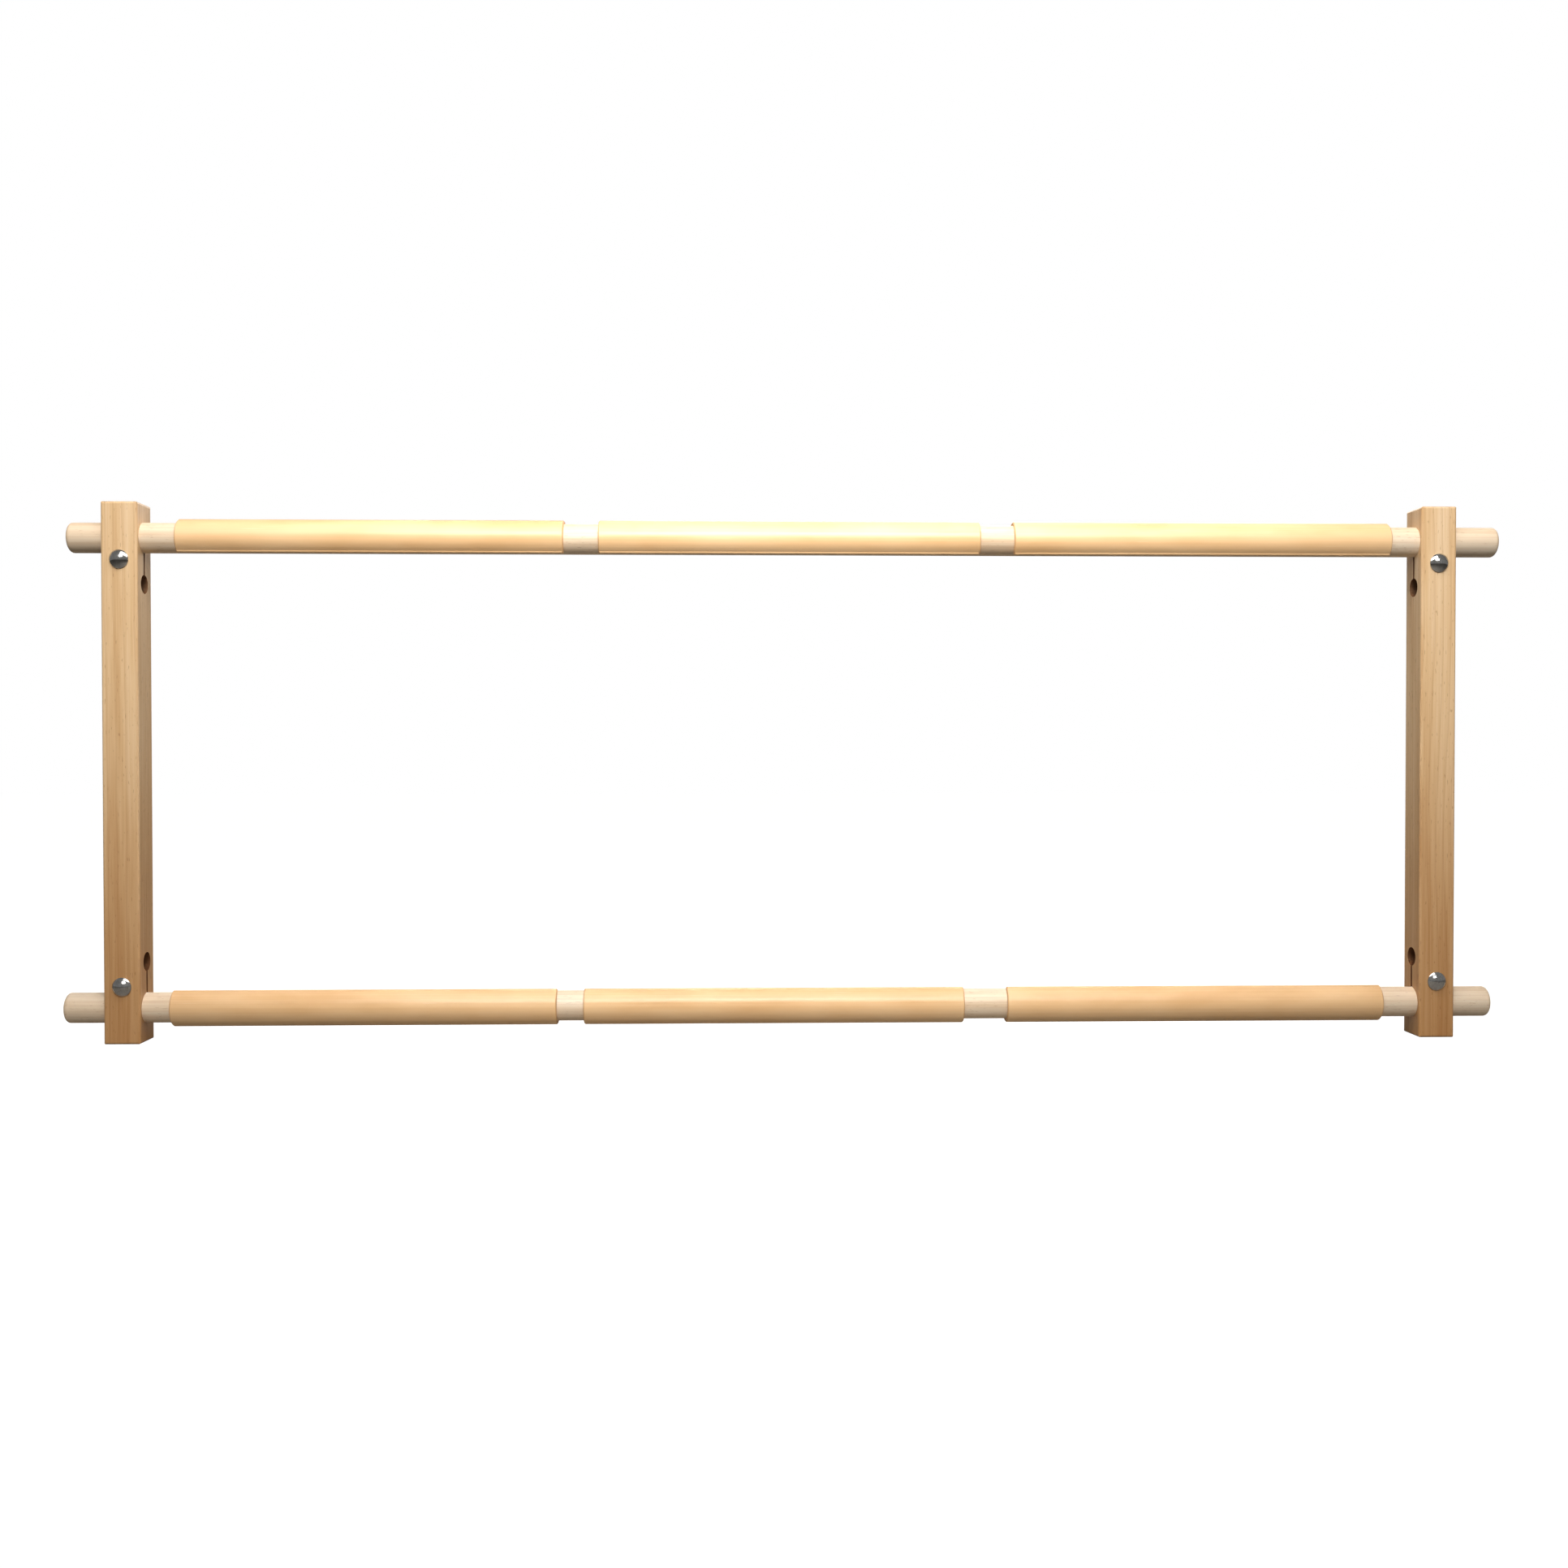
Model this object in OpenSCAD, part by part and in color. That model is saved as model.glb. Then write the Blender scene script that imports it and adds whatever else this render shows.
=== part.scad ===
// Needlework scroll frame: two round rollers held in two slit side arms, with six
// split-tube clips that grip the fabric. Upright, with the rollers along X.

/* [Side arms] */
// Length of each side arm
arm_length = 285; // [220:1:400]
// Width of an arm, as seen from the front
arm_width = 19; // [17:0.5:30]
// Depth of an arm, from its front face to its back face
arm_depth = 20; // [19:0.5:28]
// Clear width between the inner faces of the arms
arm_spacing = 680; // [640:1:700]
// Rounding of the arms' edges
arm_edge_radius = 1.2; // [0.4:0.1:2.5]

/* [Slit clamps] */
// Distance from an arm's end to the roller's axis
roller_inset = 18; // [14:0.5:30]
// Distance from the roller's axis to the clamp bolt's axis
bolt_offset = 12.3; // [11.5:0.1:15]
// Distance from the roller's axis to the relief hole's axis
relief_offset = 24.5; // [23:0.1:32]
// Diameter of the relief hole at the end of the slit
relief_diameter = 10; // [6:0.5:11]
// Width of the saw slit
slit_width = 2; // [1:0.1:3]

/* [Rollers] */
// Diameter of a roller
roller_diameter = 16; // [12:0.5:16.5]
// Length of a roller
roller_length = 762; // [755:1:900]
// Rounding of a roller's ends
roller_end_radius = 2; // [0.5:0.1:4]
// Endways place of the top roller, to the right of the middle
top_roller_shift = 2.6; // [-8:0.1:8]
// Endways place of the bottom roller, to the right of the middle
bottom_roller_shift = -0.4; // [-8:0.1:8]
// Play all round between a roller and its bores
roller_play = 0.08; // [0.05:0.01:0.1]

/* [Fabric clips] */
// Length of a clip
clip_length = 203; // [150:1:210]
// Wall of a clip
clip_wall = 1.7; // [1.2:0.1:2.5]
// Gap all round between a clip and its roller
clip_gap = 0.3; // [0.2:0.05:0.6]
// Angle of a clip's open mouth
clip_mouth = 120; // [80:1:150]
// Radius of the bead on each lip of the mouth
clip_bead_radius = 1.05; // [0.9:0.05:1.4]
// Chamfer on a clip's ends
clip_chamfer = 0.5; // [0.2:0.1:1]
// Turn of the top clips' mouths from the front, downwards
top_clip_turn = 110; // [60:1:180]
// Turn of the bottom clips' mouths from the front, upwards
bottom_clip_turn = 126; // [60:1:180]
// Hand placing of the top left clip, to the right of its even place
top_left_clip_shift = 1.1; // [-7:0.1:7]
// Hand placing of the top middle clip
top_middle_clip_shift = 1.8; // [-7:0.1:7]
// Hand placing of the top right clip
top_right_clip_shift = 2.2; // [-7:0.1:7]
// Hand placing of the bottom left clip
bottom_left_clip_shift = -3; // [-7:0.1:7]
// Hand placing of the bottom middle clip
bottom_middle_clip_shift = -6.5; // [-7:0.1:7]
// Hand placing of the bottom right clip
bottom_right_clip_shift = -1.1; // [-7:0.1:7]

/* [Clamp bolts] */
// Diameter of a bolt's shank
bolt_diameter = 5; // [4:0.5:5.5]
// How far a bolt's shank stands out of the arm's back
bolt_reach = 11.5; // [9:0.5:16]
// Diameter of a bolt's domed head
head_diameter = 10; // [8:0.5:14]
// Height of a bolt's domed head
head_height = 2.8; // [2:0.1:4]
// Height of the upright rim under the dome
head_rim = 0.5; // [0.2:0.1:1]
// Depth of the square neck under a bolt's head
neck_depth = 3.2; // [2:0.1:5]
// Play all round between a shank and its hole in the arm
bolt_play = 0.2; // [0.1:0.05:0.3]
// Chamfer on a shank's end
bolt_chamfer = 0.6; // [0.2:0.1:1]

/* [Washers and wing nuts] */
// Outside diameter of a washer
washer_diameter = 15; // [10:0.5:18]
// Thickness of a washer
washer_thickness = 1.2; // [0.8:0.1:2]
// Gap all round between a shank and a washer
washer_gap = 0.15; // [0.1:0.05:0.4]
// Play all round between a shank and a nut's thread crests
thread_play = 0.06; // [0.02:0.01:0.1]
// Diameter of a nut's hub at its foot
hub_foot_diameter = 10.6; // [9:0.1:13]
// Diameter of a nut's hub at its top
hub_top_diameter = 8.4; // [7.6:0.1:11]
// Height of a nut's hub
hub_height = 6; // [4:0.1:8]
// Span of a nut over both wings
wing_span = 26; // [22:0.5:30]
// Height of a nut from its foot to the top of its wings
wing_height = 12.4; // [10:0.1:15]
// Thickness of a wing
wing_thickness = 2.3; // [1.5:0.1:3]
// Radius of the round lobe at a wing's end
lobe_radius = 4.1; // [3:0.1:5]

/* [Hidden] */
$fn = 96;

left = -1;
right = 1;
top = 1;
bottom = -1;
cut = 1;
clips_per_roller = 3;

arm_wood = [0.84, 0.68, 0.49];
roller_wood = [0.94, 0.88, 0.79];
clip_plastic = [0.95, 0.78, 0.56];
bright_metal = [0.80, 0.80, 0.81];
plain_metal = [0.70, 0.71, 0.72];

// The origin lies under the middle of the whole frame, so the arms stand a little
// forward of it, by what reaches out of their backs and fronts
back_reach = max(bolt_reach, washer_thickness + wing_height);
arm_x = -(top_roller_shift + bottom_roller_shift) / 2;
arm_y = (head_height - back_reach) / 2;

roller_bore_radius = roller_diameter / 2 + roller_play;
clip_inner_radius = roller_diameter / 2 + clip_gap;
clip_outer_radius = clip_inner_radius + clip_wall;
clip_pitch_gap = (arm_spacing - clips_per_roller * clip_length) / (clips_per_roller + 1);
shank_radius = bolt_diameter / 2;

function arm_axis_x(side) = arm_x + side * (arm_spacing + arm_width) / 2;
function roller_z(level) = arm_length / 2 + level * (arm_length / 2 - roller_inset);
function clip_x(place, shift) = arm_x - arm_spacing / 2 + clip_pitch_gap + clip_length / 2
    + place * (clip_length + clip_pitch_gap) + shift;

// A rectangle with true arcs at its corners
module rounded_rectangle(size_x, size_y, radius) {
    square([size_x - 2 * radius, size_y], center = true);
    square([size_x, size_y - 2 * radius], center = true);
    for (x = [-1, 1], y = [-1, 1])
        translate([x * (size_x / 2 - radius), y * (size_y / 2 - radius)])
            circle(r = radius);
}

// The squared timber of an arm with every edge rounded, centred on the origin
module arm_blank() {
    intersection() {
        linear_extrude(height = arm_length, center = true)
            rounded_rectangle(arm_width, arm_depth, arm_edge_radius);
        rotate([90, 0, 0])
            linear_extrude(height = arm_depth, center = true)
                rounded_rectangle(arm_width, arm_length, arm_edge_radius);
        rotate([90, 0, 90])
            linear_extrude(height = arm_width, center = true)
                rounded_rectangle(arm_depth, arm_length, arm_edge_radius);
    }
}

// The cuts of one slit clamp, about the roller's axis, with the arm's middle along +Z
module slit_clamp_cuts() {
    through = arm_width + 2 * cut;
    rotate([0, 90, 0])
        cylinder(r = roller_bore_radius, h = through, center = true);
    translate([0, 0, relief_offset])
        rotate([0, 90, 0])
            cylinder(d = relief_diameter, h = through, center = true);
    translate([-through / 2, -slit_width / 2, 0])
        cube([through, slit_width, relief_offset]);
    translate([0, 0, bolt_offset])
        rotate([90, 0, 0])
            cylinder(r = shank_radius + bolt_play, h = arm_depth + 2 * cut, center = true);
    translate([0, -arm_depth / 2, bolt_offset])
        square_neck(bolt_play / 2);
}

// The square neck of a bolt, sunk from the arm's front face
module square_neck(play) {
    side = bolt_diameter + 2 * play;
    translate([-side / 2, -play, -side / 2])
        cube([side, neck_depth + 2 * play, side]);
}

module side_arm(side) {
    color(arm_wood)
        translate([arm_axis_x(side), arm_y, arm_length / 2])
            difference() {
                arm_blank();
                for (level = [bottom, top])
                    translate([0, 0, level * (arm_length / 2 - roller_inset)])
                        rotate([0, level == top ? 180 : 0, 0])
                            slit_clamp_cuts();
            }
}

module roller(level, shift) {
    flat = roller_diameter / 2 - roller_end_radius;
    straight = roller_length - 2 * roller_end_radius;
    color(roller_wood)
        translate([arm_x + shift - roller_length / 2, arm_y, roller_z(level)])
            rotate([0, 90, 0])
                rotate_extrude() {
                    square([flat, roller_length]);
                    translate([0, roller_end_radius])
                        square([roller_diameter / 2, straight]);
                    for (y = [roller_end_radius, roller_length - roller_end_radius])
                        intersection() {
                            translate([flat, y])
                                circle(r = roller_end_radius);
                            square([roller_diameter / 2, roller_length]);
                        }
                }
}

// Cross-section of a clip: a ring with a mouth towards +X and a bead on each lip
module clip_section() {
    reach = 3 * clip_outer_radius;
    half = clip_mouth / 2;
    difference() {
        circle(r = clip_outer_radius);
        circle(r = clip_inner_radius);
        polygon([
            [0, 0],
            [reach * cos(half), -reach * sin(half)],
            [reach, -reach],
            [reach, reach],
            [reach * cos(half), reach * sin(half)]
        ]);
    }
    bead_centre = clip_inner_radius + clip_bead_radius - clip_gap / 6;
    for (end = [-1, 1])
        rotate([0, 0, end * half])
            translate([bead_centre, 0])
                circle(r = clip_bead_radius, $fn = 48);
}

// A clip along +Z, trimmed to a chamfer at both ends
module clip_blank() {
    wide = clip_inner_radius + 2 * clip_bead_radius + cut;
    narrow = clip_outer_radius - clip_chamfer;
    slope = wide - narrow;
    intersection() {
        linear_extrude(height = clip_length, center = true)
            clip_section();
        rotate_extrude()
            polygon([
                [0, -clip_length / 2],
                [narrow, -clip_length / 2],
                [wide, slope - clip_length / 2],
                [wide, clip_length / 2 - slope],
                [narrow, clip_length / 2],
                [0, clip_length / 2]
            ]);
    }
}

// The mouth's turn is measured from the front, down on the top roller and up on the other
module clip(level, place, shift, turn) {
    color(clip_plastic)
        translate([clip_x(place, shift), arm_y, roller_z(level)])
            rotate([level * turn, 0, 0])
                rotate([0, 90, 0])
                    rotate([0, 0, -90])
                        clip_blank();
}

// Places a fastener on its bolt's axis, where that leaves the arm's front face,
// with the bolt pointing along +Z
module at_bolt(side, level) {
    translate([
        arm_axis_x(side),
        arm_y - arm_depth / 2,
        roller_z(level) - level * bolt_offset
    ])
        rotate([-90, 0, 0])
            children();
}

module clamp_bolt(side, level) {
    dome = head_height - head_rim;
    dome_radius = (pow(head_diameter / 2, 2) + pow(dome, 2)) / (2 * dome);
    shank = arm_depth + bolt_reach;
    color(bright_metal)
        at_bolt(side, level) {
            translate([0, 0, -head_rim])
                cylinder(d = head_diameter, h = head_rim);
            intersection() {
                translate([0, 0, dome_radius - head_height])
                    sphere(r = dome_radius, $fn = 144);
                translate([0, 0, -head_height])
                    cylinder(d = head_diameter, h = dome);
            }
            rotate([90, 0, 0])
                square_neck(0);
            cylinder(r = shank_radius, h = shank - bolt_chamfer);
            translate([0, 0, shank - bolt_chamfer])
                cylinder(r1 = shank_radius, r2 = shank_radius - bolt_chamfer, h = bolt_chamfer);
        }
}

module washer(side, level) {
    color(plain_metal)
        at_bolt(side, level)
            translate([0, 0, arm_depth])
                difference() {
                    cylinder(d = washer_diameter, h = washer_thickness);
                    translate([0, 0, -cut])
                        cylinder(r = shank_radius + washer_gap, h = washer_thickness + 2 * cut);
                }
}

// Outline of one wing, out from the nut's axis and up from its foot
module wing_outline() {
    lobe = [wing_span / 2 - lobe_radius, wing_height - lobe_radius];
    foot = [hub_foot_diameter / 2 - wing_thickness / 2, hub_height / 8];
    neck = [hub_top_diameter / 2 - wing_thickness / 2, hub_height * 0.9];
    lean = 38;
    away = lobe_radius * [cos(lean), -sin(lean)];
    translate(lobe)
        circle(r = lobe_radius);
    polygon([
        [shank_radius + wing_thickness / 2, foot[1]],
        foot,
        lobe + away,
        lobe - away,
        neck,
        [shank_radius + wing_thickness / 2, neck[1]]
    ]);
}

module wing_nut(side, level) {
    color(bright_metal)
        at_bolt(side, level)
            translate([0, 0, arm_depth + washer_thickness])
                difference() {
                    union() {
                        cylinder(d1 = hub_foot_diameter, d2 = hub_top_diameter, h = hub_height);
                        for (turn = [90, 270])
                            rotate([0, 0, turn])
                                rotate([90, 0, 0])
                                    linear_extrude(height = wing_thickness, center = true)
                                        wing_outline();
                    }
                    translate([0, 0, -cut])
                        cylinder(r = shank_radius + thread_play, h = wing_height + 2 * cut);
                }
}

side_arm(left);  // side_arm_left
side_arm(right);  // side_arm_right
roller(top, top_roller_shift);  // roller_top
roller(bottom, bottom_roller_shift);  // roller_bottom
clip(top, 0, top_left_clip_shift, top_clip_turn);  // clip_top_left
clip(top, 1, top_middle_clip_shift, top_clip_turn);  // clip_top_middle
clip(top, 2, top_right_clip_shift, top_clip_turn);  // clip_top_right
clip(bottom, 0, bottom_left_clip_shift, bottom_clip_turn);  // clip_bottom_left
clip(bottom, 1, bottom_middle_clip_shift, bottom_clip_turn);  // clip_bottom_middle
clip(bottom, 2, bottom_right_clip_shift, bottom_clip_turn);  // clip_bottom_right
clamp_bolt(left, top);  // clamp_bolt_top_left
clamp_bolt(right, top);  // clamp_bolt_top_right
clamp_bolt(left, bottom);  // clamp_bolt_bottom_left
clamp_bolt(right, bottom);  // clamp_bolt_bottom_right
washer(left, top);  // washer_top_left
washer(right, top);  // washer_top_right
washer(left, bottom);  // washer_bottom_left
washer(right, bottom);  // washer_bottom_right
wing_nut(left, top);  // wing_nut_top_left
wing_nut(right, top);  // wing_nut_top_right
wing_nut(left, bottom);  // wing_nut_bottom_left
wing_nut(right, bottom);  // wing_nut_bottom_right
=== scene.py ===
import math
import bpy
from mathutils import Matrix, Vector


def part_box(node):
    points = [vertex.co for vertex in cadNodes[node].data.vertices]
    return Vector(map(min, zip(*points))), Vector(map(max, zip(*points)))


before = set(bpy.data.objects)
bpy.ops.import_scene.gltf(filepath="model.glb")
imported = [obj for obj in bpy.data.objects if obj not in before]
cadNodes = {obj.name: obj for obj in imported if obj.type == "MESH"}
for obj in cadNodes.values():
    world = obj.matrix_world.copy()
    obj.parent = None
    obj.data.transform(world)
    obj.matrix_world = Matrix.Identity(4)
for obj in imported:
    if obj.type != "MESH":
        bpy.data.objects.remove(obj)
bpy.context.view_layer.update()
print("frame loaded,", len(cadNodes), "CAD nodes")

# places that the looks are lined up with, read from the CAD nodes
levels = ("top", "bottom")
sides = ("left", "right")


def middleOf(node):
    low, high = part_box(node)
    return (low + high) / 2


def sizeOf(node):
    low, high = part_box(node)
    return high - low


armMiddle = {side: middleOf(f"side_arm_{side}") for side in sides}
armSize = sizeOf("side_arm_left")
frameMiddleX = (armMiddle["left"].x + armMiddle["right"].x) / 2
armReach = armMiddle["right"].x - frameMiddleX
armMiddleY = armMiddle["left"].y
armMiddleZ = armMiddle["left"].z
rollerAxis = {level: middleOf(f"roller_{level}") for level in levels}
rollerSize = sizeOf("roller_top")
rollerOut = rollerAxis["top"].z - armMiddleZ
boltOut = middleOf("clamp_bolt_top_left").z - armMiddleZ


def sRgb(red, green, blue):  # a colour picked on a 0 to 255 scale, as the shader wants it
    channels = [value / 255 for value in (red, green, blue)]
    linear = [((c + 0.055) / 1.055) ** 2.4 if c > 0.04 else c / 12.92 for c in channels]
    return (*linear, 1.0)


class Wire:  # one output of a node, so that shader maths reads as plain expressions
    def __init__(self, tree, socket=None):
        self.tree = tree
        self.socket = socket

    def node(self, kind, settings=None, values=None, output=0):
        made = self.tree.nodes.new(kind)
        for name, value in (settings or {}).items():
            if name == "stops":
                ramp = made.color_ramp
                while len(ramp.elements) < len(value):
                    ramp.elements.new(0.5)
                for element, (position, colour) in zip(ramp.elements, value):
                    element.position = position
                    element.color = colour
            else:
                setattr(made, name, value)
        for name, value in (values or {}).items():
            if isinstance(value, Wire):
                self.tree.links.new(value.socket, made.inputs[name])
            else:
                made.inputs[name].default_value = value
        return Wire(self.tree, made.outputs[output])

    def math(self, operation, *numbers):
        return self.node("ShaderNodeMath", {"operation": operation}, dict(enumerate(numbers)))

    def __add__(self, other):
        return self.math("ADD", self, other)

    __radd__ = __add__

    def __sub__(self, other):
        return self.math("SUBTRACT", self, other)

    def __rsub__(self, other):
        return self.math("SUBTRACT", other, self)

    def __mul__(self, other):
        return self.math("MULTIPLY", self, other)

    __rmul__ = __mul__

    def __truediv__(self, other):
        return self.math("DIVIDE", self, other)

    def __pow__(self, other):
        return self.math("POWER", self, other)

    def __abs__(self):
        return self.math("ABSOLUTE", self)

    def __mod__(self, other):
        return self.math("FLOORED_MODULO", self, other)

    def root(self):
        return self.math("SQRT", self)

    def most(self, other):  # the greater of the two
        return self.math("MAXIMUM", self, other)

    def between(self, low, high):  # 0 at low, 1 at high, with soft ends
        return self.node("ShaderNodeMapRange", {"interpolation_type": "SMOOTHSTEP"},
                         {"Value": self, "From Min": low, "From Max": high})

    def parts(self):  # x, y and z of a vector
        made = self.node("ShaderNodeSeparateXYZ", None, {0: self})
        return [Wire(self.tree, out) for out in made.socket.node.outputs]

    def placed(self, scale, location):
        return self.node("ShaderNodeMapping", None,
                         {"Vector": self, "Scale": scale, "Location": location})

    def noise(self, scale, detail=2.0, roughness=0.5, location=(0, 0, 0)):
        return self.node("ShaderNodeTexNoise", None,
                         {"Vector": self.placed(scale, location), "Scale": 1.0,
                          "Detail": detail, "Roughness": roughness})

    def mixed(self, first, second, blend="MIX"):  # self is the share of the second colour
        return self.node("ShaderNodeMix", {"data_type": "RGBA", "blend_type": blend},
                         {0: self, 6: first, 7: second}, 2)

    def ramp(self, *stops):
        return self.node("ShaderNodeValToRGB", {"stops": stops}, {0: self})

    def bump(self, strength, distance, under=None):
        values = {"Strength": strength, "Distance": distance, "Height": self}
        if under is not None:
            values["Normal"] = under
        return self.node("ShaderNodeBump", None, values)


def newMaterial(name, constants):
    material = bpy.data.materials.new(name)
    material.use_nodes = True
    tree = material.node_tree
    shader = tree.nodes["Principled BSDF"]
    for socket, value in constants.items():
        shader.inputs[socket].default_value = value
    start = Wire(tree)
    place = start.node("ShaderNodeTexCoord", output="Object")
    facing = start.node("ShaderNodeTexCoord", output="Normal")
    return material, shader, place, facing


def plug(shader, **looks):
    for name, wire in looks.items():
        socket = {"colour": "Base Color", "roughness": "Roughness", "coat": "Coat Weight",
                  "normal": "Normal"}[name]
        wire.tree.links.new(wire.socket, shader.inputs[socket])


def apart(first, second):  # length of the slant over two distances
    return (first ** 2.0 + second ** 2.0).root()


# what the arms' and the rollers' grain have in common
grainLook = {
    "ringSharpness": 5.0,
    "broadShare": 0.7,
    "fibreShare": 0.3,
    "toneStops": (0.34, 0.5, 0.66),
    "fleckStops": (0.66, 0.74),
}


def woodGrain(place, look, reach):  # the grain's colour and the patterns it is made of
    wobble = place.noise(look["ringScale"]) * look["ringWobble"]
    ringLine = ((reach / look["ringSpacing"] + wobble) % 1.0) ** grainLook["ringSharpness"]
    broad = place.noise(look["broadScale"], 3.0, 0.55)
    fibre = place.noise(look["fibreScale"], 3.0, 0.6)
    fleck = place.noise(look["fleckScale"], 1.0).between(*grainLook["fleckStops"])
    tones = (look["deep"], look["middle"], look["pale"])
    tone = (broad * grainLook["broadShare"] + fibre * grainLook["fibreShare"]).ramp(
        *zip(grainLook["toneStops"], tones))
    colour = (ringLine * look["ringShare"]).mixed(tone, look["ringLine"])
    colour = (fleck * look["fleckShare"]).mixed(colour, look["fleck"])
    return colour, ringLine, broad, fibre, fleck


# varnished beech of the side arms
armLook = {
    "pale": sRgb(236, 205, 165),
    "middle": sRgb(224, 187, 140),
    "deep": sRgb(203, 157, 106),
    "ringLine": sRgb(186, 136, 88),
    "ringShare": 0.34,
    "ringSpacing": 0.0031,
    "ringScale": (60, 60, 12),
    "ringWobble": 0.5,
    "ringDrift": 0.011,
    "driftScale": (9, 9, 5),
    "pith": (0.021, 0.034),  # how far the tree's middle lies outside the arm, along X and Y
    "broadScale": (70, 70, 4),
    "fibreScale": (950, 950, 22),
    "fleck": sRgb(150, 100, 60),
    "fleckShare": 0.42,
    "fleckScale": (1500, 1500, 230),
    "endGrain": sRgb(188, 140, 92),
    "endShare": 0.7,
    "edgeWidth": 0.0016,
    "wearShare": 0.35,
    "wearScale": (120, 120, 40),
    "wearStops": (0.42, 0.62),
    "handledWearAndShade": sRgb(204, 166, 116),  # painted shade: the arms darker towards their low ends, where less light falls
    "paintedShadeHeights": (-0.03, 0.2),
    "paintedShadeShare": 0.75,
    # bare drilled wood of the holes' walls, darkened further with painted shade inside the holes
    "holeWallAndShade": sRgb(96, 52, 24),
    "holeWallShadeShare": 0.85,
    "reliefOut": 0.100,
    "reliefRadius": 0.005,
    "slitHalf": 0.001,
    "slitEnd": 0.0002,
    "wallStops": (0.0001, 0.0004),  # outside a hole's radius, where its wall's tone ends
    "slitStops": (0.0001, 0.0003),
    "sawScale": (4000, 300, 1500),
    "sawDepth": 0.0004,
    "grainDepth": 0.00012,
    "sheenScale": (300, 300, 60),
    "sheenRange": 0.16,
    "roughness": 0.42,
    "coat": 0.3,
}


def armEdges(across, inward, along):  # 1 on the arm's edges
    width = armLook["edgeWidth"]
    halves = ((across, armSize.x / 2), (inward, armSize.y / 2), (along, armSize.z / 2))
    nearX, nearY, nearZ = (abs(way).between(half - width, half) for way, half in halves)
    return (nearX * nearY).most(nearX * nearZ).most(nearY * nearZ)


def armHoles(inward, along):  # 1 in the relief hole, the roller's bore and the slit between them
    look = armLook
    start, stop = look["wallStops"]
    fromRelief = apart(inward, along - look["reliefOut"])
    fromRoller = apart(inward, along - rollerOut)
    inRelief = 1 - fromRelief.between(look["reliefRadius"] + start, look["reliefRadius"] + stop)
    inBore = 1 - fromRoller.between(rollerSize.z / 2 + start, rollerSize.z / 2 + stop)
    start, stop = look["slitStops"]
    inSlit = (1 - abs(inward).between(look["slitHalf"] + start, look["slitHalf"] + stop)) \
        * along.between(look["reliefOut"] - look["slitEnd"], look["reliefOut"]) \
        * (1 - along.between(rollerOut, rollerOut + look["slitEnd"]))
    return inRelief.most(inBore).most(inSlit)


def armWood():
    look = armLook
    material, shader, place, facing = newMaterial("armWood", {
        "Coat Roughness": 0.16, "Coat IOR": 1.45, "IOR": 1.45, "Specular IOR Level": 0.35})
    x, y, z = place.parts()
    facingX, _, facingZ = facing.parts()
    across = abs(x - frameMiddleX) - armReach
    inward = y - armMiddleY
    along = abs(z - armMiddleZ)

    drift = place.noise(look["driftScale"], 2.0) - 0.5
    pithX, pithY = look["pith"]
    reach = apart(across + pithX + drift * look["ringDrift"], inward + pithY)
    colour, ringLine, _, fibre, fleck = woodGrain(place, look, reach)
    endMask = abs(facingZ).between(0.6, 0.9)
    colour = (endMask * look["endShare"]).mixed(colour, look["endGrain"])

    worn = place.noise(look["wearScale"], 3.0).between(*look["wearStops"])
    wear = armEdges(across, inward, along) * worn
    colour = (wear * look["wearShare"]).mixed(colour, look["pale"])

    # painted shade: the arms' colour multiplied darker towards their low ends, where less light
    # falls
    handledWearAndShade = (1 - z.between(*look["paintedShadeHeights"])) * (look["paintedShadeShare"] + drift * 0.5)
    colour = handledWearAndShade.mixed(colour, look["handledWearAndShade"], "MULTIPLY")

    # the holes' walls: darker bare drilled wood, partly painted shade as it falls inside the holes
    inside = armHoles(inward, along) * (1 - abs(facingX).between(0.4, 0.7))
    colour = (inside * look["holeWallShadeShare"]).mixed(colour, look["holeWallAndShade"])

    sheen = (place.noise(look["sheenScale"], 2.0) - 0.5) * look["sheenRange"]
    rough = look["roughness"] + sheen + inside * 0.35 + endMask * 0.15 - wear * 0.08
    coat = (1 - inside) * (1 - endMask * 0.6) * (1 - wear * 0.5) * look["coat"]
    normal = (fibre * 0.6 - fleck * 0.8 - ringLine * 0.2).bump(0.35, look["grainDepth"])
    sawMarks = place.noise(look["sawScale"], 2.0) * inside
    normal = sawMarks.bump(0.6, look["sawDepth"], normal)
    plug(shader, colour=colour, roughness=rough, coat=coat, normal=normal)
    return material


# pale sanded beech of the rollers
rollerLook = {
    "pale": sRgb(243, 224, 198),
    "middle": sRgb(235, 210, 179),
    "deep": sRgb(219, 188, 152),
    "ringLine": sRgb(205, 168, 128),
    "ringShare": 0.3,
    "ringSpacing": 0.0027,
    "ringScale": (12, 60, 60),
    "ringWobble": 0.4,
    "ringDrift": 0.006,
    "driftScale": (3, 14, 14),
    "driftShift": 40,  # keeps the two rollers' grain apart
    "pith": (0.0035, -0.011),  # the tree's middle from the roller's axis, along Y and Z
    "broadScale": (5, 90, 90),
    "fibreScale": (22, 1000, 1000),
    "fleck": sRgb(176, 132, 92),
    "fleckShare": 0.38,
    "fleckScale": (240, 1600, 1600),
    "endGrain": sRgb(206, 170, 130),
    "endShare": 0.45,
    "endRings": 0.4,
    "rimStops": (0.0004, 0.003),
    "rimShare": 0.35,
    "grainDepth": 0.00012,
    "sheenScale": (60, 300, 300),
    "sheenRange": 0.2,
    "roughness": 0.5,
    "coat": 0.2,
}


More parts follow.
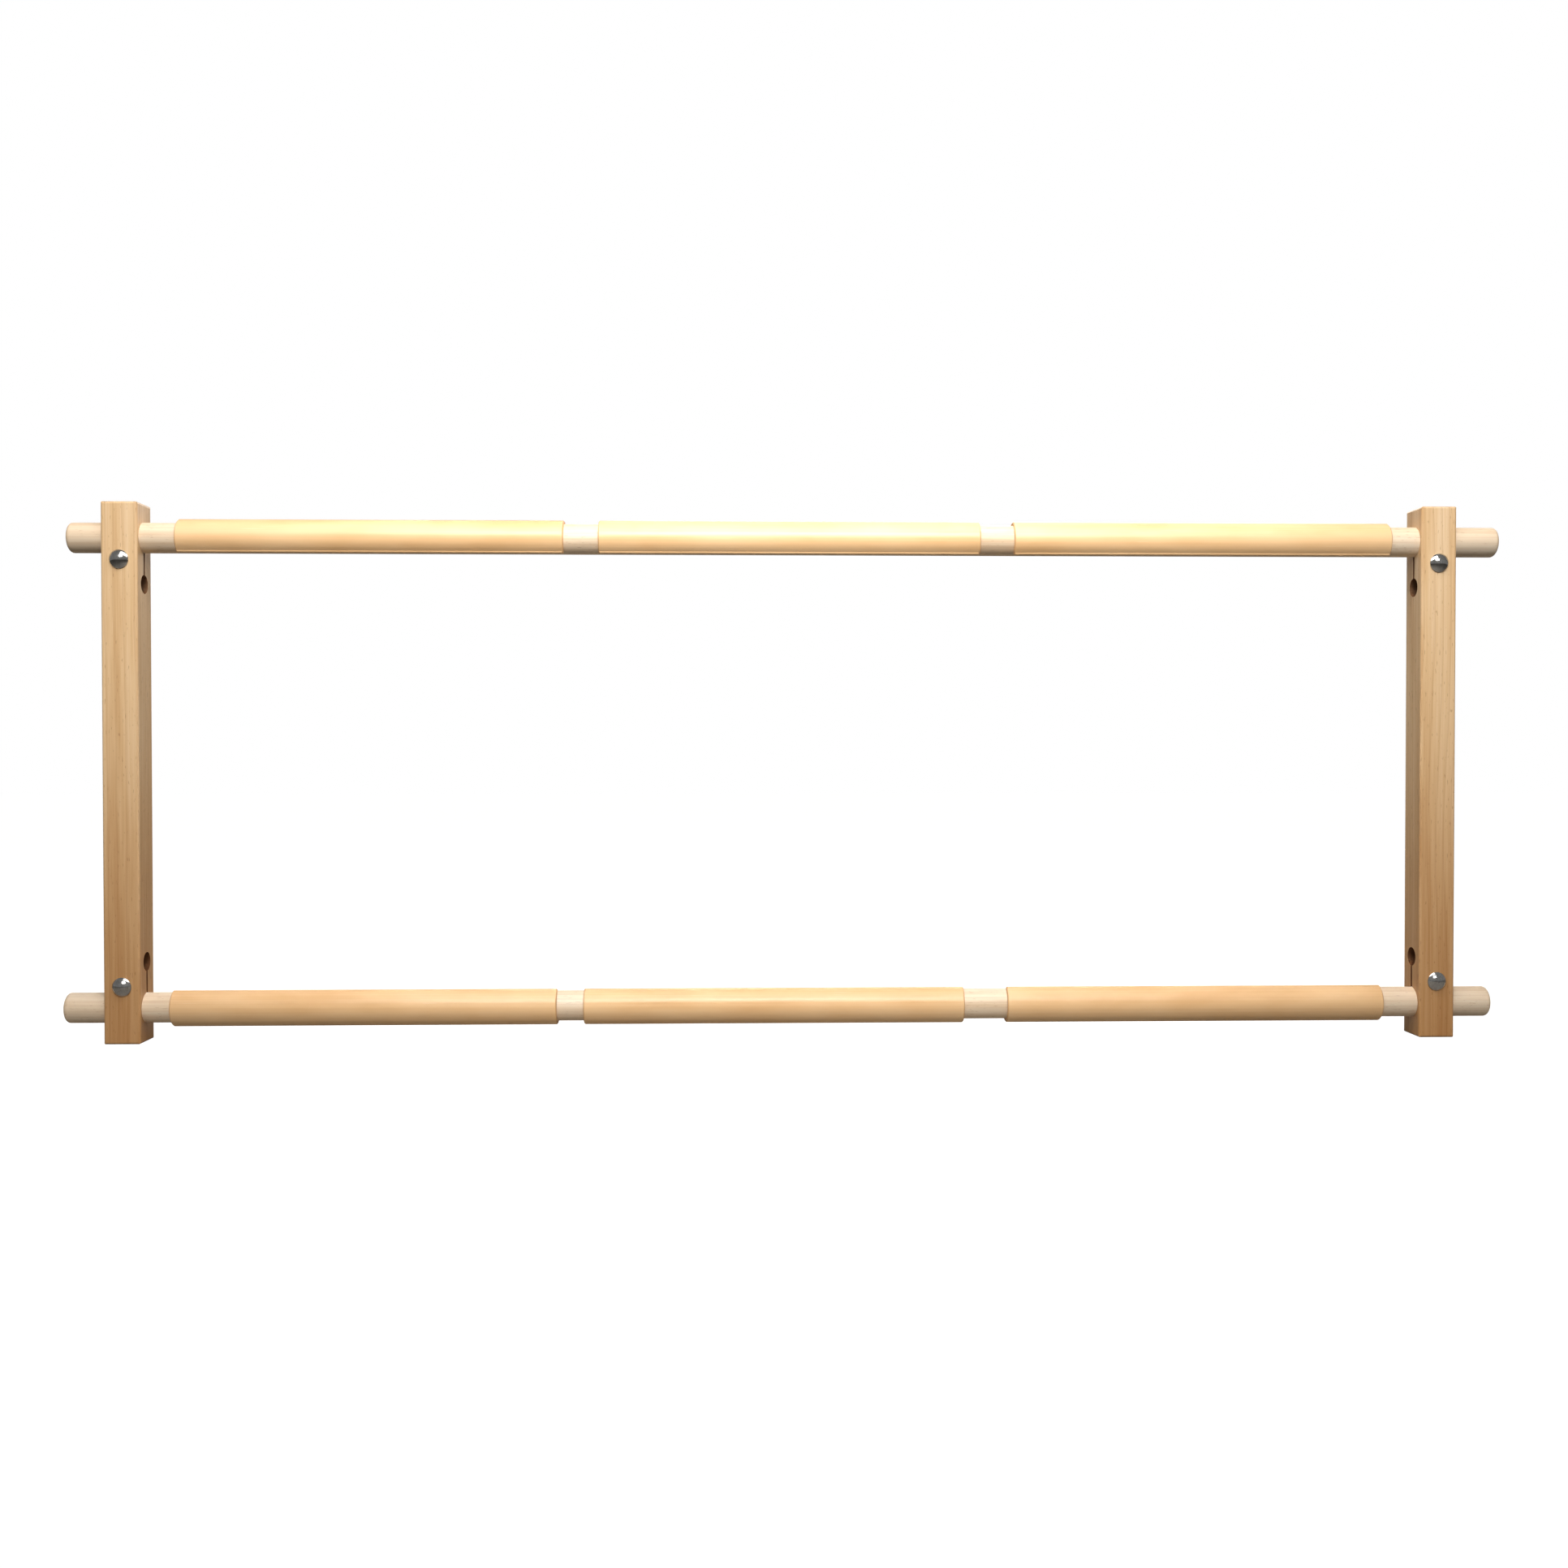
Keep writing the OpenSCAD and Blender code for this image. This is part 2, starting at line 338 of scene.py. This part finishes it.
def rollerWood(level):
    look = rollerLook
    axis = rollerAxis[level]
    material, shader, place, facing = newMaterial(f"rollerWood_{level}", {
        "Coat Roughness": 0.3, "IOR": 1.45, "Specular IOR Level": 0.35})
    x, y, z = place.parts()
    shift = (axis.z * look["driftShift"], 0, 0)
    drift = place.noise(look["driftScale"], 2.0, location=shift) - 0.5
    pithY, pithZ = look["pith"]
    reach = apart(y - axis.y + pithY + drift * look["ringDrift"], z - axis.z + pithZ)
    colour, ringLine, broad, fibre, fleck = woodGrain(place, look, reach)
    endMask = abs(facing.parts()[0]).between(0.6, 0.95)
    endShare = look["endShare"] + ringLine * look["endRings"]
    colour = (endMask * endShare).mixed(colour, look["endGrain"])
    fromEnd = rollerSize.x / 2 - abs(x - axis.x)
    rim = (1 - fromEnd.between(*look["rimStops"])) * (1 - endMask)
    colour = (rim * look["rimShare"]).mixed(colour, look["deep"])
    sheen = (place.noise(look["sheenScale"], 2.0) - 0.5) * look["sheenRange"]
    rough = look["roughness"] + sheen + endMask * 0.2
    normal = (fibre * 0.6 - fleck * 0.8).bump(0.3, look["grainDepth"])
    coat = (1 - endMask) * broad * look["coat"]
    plug(shader, colour=colour, roughness=rough, coat=coat, normal=normal)
    return material


# smooth tan plastic of the clips, drawn out along the rollers
clipLook = {
    "light": sRgb(243, 202, 152),
    "middle": sRgb(238, 194, 142),
    "dark": sRgb(229, 182, 128),
    "toneStops": (0.36, 0.5, 0.64),
    "cloudScale": (16, 60, 60),
    "drawnScale": (3, 1400, 1400),
    "drawnDepth": 0.00006,
    "speckScale": (2200, 2200, 2200),
    "speckShare": 0.25,
    "scratch": sRgb(247, 219, 180),
    "scratchScale": (45, 3000, 3000),
    "scratchShare": 0.35,
    "handledScale": (30, 30, 30),
    "waveScale": (8, 90, 90),
    "waveDepth": 0.0006,
    # painted shade: the clips' cut ends darker, as a thin shadow line
    "cutEndShade": sRgb(214, 160, 106),
    "cutEndShadeShare": 0.6,
    "roughness": 0.25,
}


def clipPlastic():
    look = clipLook
    material, shader, place, facing = newMaterial("clipPlastic", {
        "IOR": 1.5, "Specular IOR Level": 0.4})
    cloud = place.noise(look["cloudScale"], 3.0, 0.5)
    drawn = place.noise(look["drawnScale"], 2.0, 0.6)
    speck = place.noise(look["speckScale"], 1.0).between(0.7, 0.76)
    # where the clips are handled, which holds their scratches
    handledWearAndShade = place.noise(look["handledScale"]).between(0.5, 0.6)
    scratch = place.noise(look["scratchScale"], 1.0).between(0.69, 0.73) * handledWearAndShade
    tones = (look["dark"], look["middle"], look["light"])
    tone = (cloud * 0.75 + drawn * 0.25).ramp(*zip(look["toneStops"], tones))
    colour = (scratch * look["scratchShare"]).mixed(tone, look["scratch"])
    colour = (speck * look["speckShare"]).mixed(colour, look["dark"])
    endMask = abs(facing.parts()[0]).between(0.5, 0.8)
    # painted shade along the cut ends of the clips
    colour = (endMask * look["cutEndShadeShare"]).mixed(colour, look["cutEndShade"])
    rough = look["roughness"] + cloud * 0.12 + drawn * 0.06 + scratch * 0.15 + endMask * 0.2
    normal = (drawn * 0.5 - scratch).bump(0.18, look["drawnDepth"])
    normal = place.noise(look["waveScale"], 1.0).bump(0.25, look["waveDepth"], normal)
    plug(shader, colour=colour, roughness=rough, normal=normal)
    return material


# nickel plate of the bolts and wing nuts, and dull zinc of the washers
nickelLook = {
    "light": sRgb(214, 212, 208),
    "dark": sRgb(178, 175, 170),
    "stain": sRgb(128, 116, 100),
    "roughness": 0.10,
    "grain": 0.10,
}
zincLook = {
    "light": sRgb(196, 198, 200),
    "dark": sRgb(150, 152, 155),
    "stain": sRgb(120, 112, 102),
    "roughness": 0.30,
    "grain": 0.16,
}
metalLooks = {"boltMetal": nickelLook, "brightMetal": nickelLook, "plainMetal": zincLook}
tarnishLook = {
    "cloudScale": (220, 220, 220),
    "cloudDepth": 0.00008,
    "hairScale": (2600, 2600, 500),
    "hairDepth": 0.00003,
    "stainScale": (380, 380, 380),
    "stainStops": (0.6, 0.74),
    "stainShare": 0.3,
}
threadLook = {
    "pitch": 0.0008,
    "depth": 0.0005,
    # painted shade in the thread's roots
    "root": sRgb(70, 66, 62),
    "rootShadeShare": 0.7,
    "steepness": 2.4,
    "fadeLength": 0.001,
}


def threadHeight(place, facing):  # a right-hand thread on the bolt's shank: 0 at its roots, else 1
    look = threadLook
    x, y, z = place.parts()
    fromMiddleX = x - frameMiddleX
    fromMiddleZ = z - armMiddleZ
    across = fromMiddleX - fromMiddleX.math("SIGN", fromMiddleX) * armReach
    up = fromMiddleZ - fromMiddleZ.math("SIGN", fromMiddleZ) * boltOut
    turn = (y / look["pitch"] - across.math("ARCTAN2", across, up) / math.tau) % 1.0
    groove = 1 - abs(turn - 0.5) * look["steepness"]
    onShank = y.between(armMiddleY, armMiddleY + look["fadeLength"]) \
        * (1 - abs(facing.parts()[1]).between(0.3, 0.6))
    return 1 - groove.most(0) * onShank


def metal(name):
    look = metalLooks[name]
    tarnish = tarnishLook
    material, shader, place, facing = newMaterial(name, {"Metallic": 1.0})
    cloud = place.noise(tarnish["cloudScale"], 4.0, 0.6)
    hair = place.noise(tarnish["hairScale"], 2.0, 0.6)
    stain = place.noise(tarnish["stainScale"], 3.0).between(*tarnish["stainStops"])
    tone = (cloud * 0.6 + hair * 0.4).ramp((0.36, look["dark"]), (0.6, look["light"]))
    colour = (stain * tarnish["stainShare"]).mixed(tone, look["stain"])
    rough = look["roughness"] + cloud * look["grain"] + stain * 0.14
    normal = hair.bump(0.08, tarnish["hairDepth"])
    normal = cloud.bump(0.1, tarnish["cloudDepth"], normal)
    if name == "boltMetal":
        height = threadHeight(place, facing)
        # painted shade: the thread's roots darker, as shade in its grooves
        colour = ((1 - height) * threadLook["rootShadeShare"]).mixed(colour, threadLook["root"])
        normal = height.bump(1.0, threadLook["depth"], normal)
    plug(shader, colour=colour, roughness=rough, normal=normal)
    return material


armWoodMade = armWood()
rollerWoodMade = {level: rollerWood(level) for level in levels}
clipPlasticMade = clipPlastic()
metalMade = {name: metal(name) for name in metalLooks}
print("materials made:", len(bpy.data.materials))


def dress(node, material):
    slots = cadNodes[node].data.materials
    slots.clear()
    slots.append(material)


for side in sides:
    dress(f"side_arm_{side}", armWoodMade)
for level in levels:
    dress(f"roller_{level}", rollerWoodMade[level])
    for place in ("left", "middle", "right"):
        dress(f"clip_{level}_{place}", clipPlasticMade)
    for side in sides:
        dress(f"clamp_bolt_{level}_{side}", metalMade["boltMetal"])
        dress(f"washer_{level}_{side}", metalMade["plainMetal"])
        dress(f"wing_nut_{level}_{side}", metalMade["brightMetal"])
print("CAD nodes dressed")

# the stage: a floor that the camera sees as white, soft lamps and the photo's camera
stageLook = {
    "floorSize": 12.0,
    "floorColour": sRgb(140, 136, 130),
    "floorRoughness": 0.9,
    "floorLift": 0.95,  # glow that only the camera sees, so a faint shadow stays
    "worldLight": 0.22,
}
lampLook = {
    "overheadLamp": {"at": (0, -0.22, 0.62), "size": (0.7, 0.2), "power": 1.7, "spread": 150},
    "frontLamp": {"at": (0, -1.0, 0.9), "size": (0.8, 0.25), "power": 1.75, "spread": 48},
    "backLamp": {"at": (0.3, 1.2, 0.8), "size": (1.0, 0.6), "power": 2.4, "spread": 120},
}
cameraLook = {
    "at": (-0.0264, -0.8571, 0.1498),
    "turn": (89.107, 0.028, -1.621),  # in degrees
    "lens": 36.456,
    "sensor": 36,
}


def seenPart(wire):  # 1 for what the camera itself sees
    return wire.node("ShaderNodeLightPath", output="Is Camera Ray")


def makeFloor():
    bpy.ops.object.select_all(action="DESELECT")
    bpy.ops.mesh.primitive_plane_add(size=stageLook["floorSize"], location=(0, 0, 0))
    floor = bpy.context.object
    floor.name = "floor"
    material = bpy.data.materials.new("floorWhite")
    material.use_nodes = True
    shader = material.node_tree.nodes["Principled BSDF"]
    shader.inputs["Base Color"].default_value = stageLook["floorColour"]
    shader.inputs["Roughness"].default_value = stageLook["floorRoughness"]
    shader.inputs["Specular IOR Level"].default_value = 0.0
    shader.inputs["Emission Strength"].default_value = 1.0
    glow = seenPart(Wire(material.node_tree)) * stageLook["floorLift"]
    material.node_tree.links.new(glow.socket, shader.inputs["Emission Color"])
    floor.data.materials.append(material)


def makeWorld():
    world = bpy.data.worlds.new("whiteRoom")
    bpy.context.scene.world = world
    world.use_nodes = True
    background = world.node_tree.nodes["Background"]
    background.inputs["Color"].default_value = (1, 1, 1, 1)
    seen = seenPart(Wire(world.node_tree))
    strength = seen * (1 - stageLook["worldLight"]) + stageLook["worldLight"]
    world.node_tree.links.new(strength.socket, background.inputs["Strength"])


def makeLamp(name, at, size, power, spread):
    data = bpy.data.lights.new(name, "AREA")
    data.shape = "RECTANGLE"
    data.size, data.size_y = size
    data.energy = power
    data.spread = math.radians(spread)
    lamp = bpy.data.objects.new(name, data)
    bpy.context.scene.collection.objects.link(lamp)
    lamp.location = at
    aim = Vector((0, 0, rollerAxis["top"].z)) - Vector(at)
    lamp.rotation_euler = aim.to_track_quat("-Z", "Y").to_euler()


def makeCamera():
    data = bpy.data.cameras.new("photoCamera")
    data.lens = cameraLook["lens"]
    data.sensor_width = cameraLook["sensor"]
    camera = bpy.data.objects.new("photoCamera", data)
    bpy.context.scene.collection.objects.link(camera)
    camera.location = cameraLook["at"]
    camera.rotation_euler = [math.radians(turn) for turn in cameraLook["turn"]]
    bpy.context.scene.camera = camera


makeFloor()
makeWorld()
for lampName, settings in lampLook.items():
    makeLamp(lampName, **settings)
makeCamera()
bpy.context.scene.view_settings.view_transform = "Standard"
print("stage, lamps and camera set")
